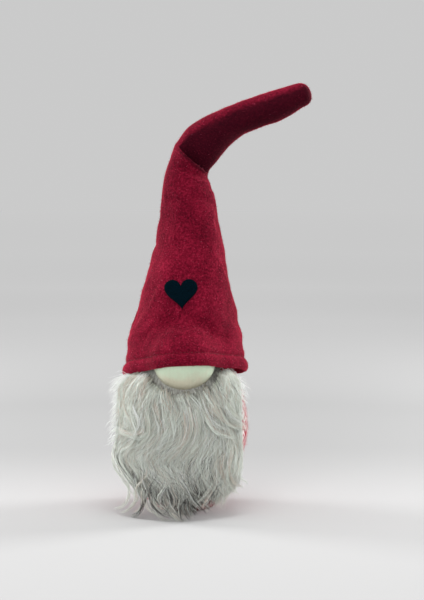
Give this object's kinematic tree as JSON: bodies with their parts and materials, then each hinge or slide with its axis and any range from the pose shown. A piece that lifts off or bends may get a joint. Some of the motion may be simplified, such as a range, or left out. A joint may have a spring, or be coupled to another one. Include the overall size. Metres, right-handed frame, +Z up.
{
  "type": "gnome figurine",
  "caption": "Soft standing gnome: weighted sack body, long fake-fur beard that lifts, ball nose half under a tall fleece hat, and a wired hat tip that bends.",
  "frame": {"origin": "centre of the sack's round flat bottom, on the surface that the figure stands on", "axes": "+Z up, -Y the way the face and the beard look, +X the side that the hat's tip bends to"},
  "size_m": [0.1983, 0.148, 0.4248],
  "materials": {
    "fleece": "matte",
    "sack_cloth": "matte",
    "fake_fur": "matte",
    "fur_backing": "matte",
    "jersey": "matte",
    "felt": "matte",
    "red_thread": "matte",
    "white_thread": "matte",
    "cord": "matte",
    "filling": "matte",
    "bag_cloth": "matte",
    "card": "matte",
    "pellets": "satin",
    "wire": "satin"
  },
  "bodies": {
    "figure": {"base_panel": "sack_cloth", "base_seam": "white_thread", "base_board": "card", "weight_bag": "bag_cloth", "weight_pellets": "pellets", "body_cover": "sack_cloth", "body_back_seam": "sack_cloth", "body_stuffing": "filling", "neck_tie": "cord", "beard_top_backing": "fur_backing", "beard_top_pile": "fake_fur", "nose_cover": "jersey", "nose_stuffing": "filling", "nose_gather_thread": "white_thread", "hat_cover": "fleece", "hat_hem": "fleece", "hem_stitch": "red_thread", "hat_back_seam": "fleece", "hat_stuffing": "filling", "hat_wire": "wire", "heart_patch": "felt"},
    "hat_tip": {"tip_cover": "fleece", "tip_stuffing": "filling", "tip_wire": "wire", "tip_seam": "fleece"},
    "beard": {"beard_backing": "fur_backing", "beard_pile": "fake_fur"}
  },
  "joints": [
    {"name": "hat_tip_bend", "type": "hinge", "parent": "figure", "child": "hat_tip", "pos_m": [0.007, 0, 0.348], "axis": [0, 1, 0], "range_deg": [-60, 40]},
    {"name": "beard_lift", "type": "hinge", "parent": "figure", "child": "beard", "pos_m": [0, -0.0613, 0.112], "axis": [-1, 0, 0], "range_deg": [0, 75]}
  ]
}
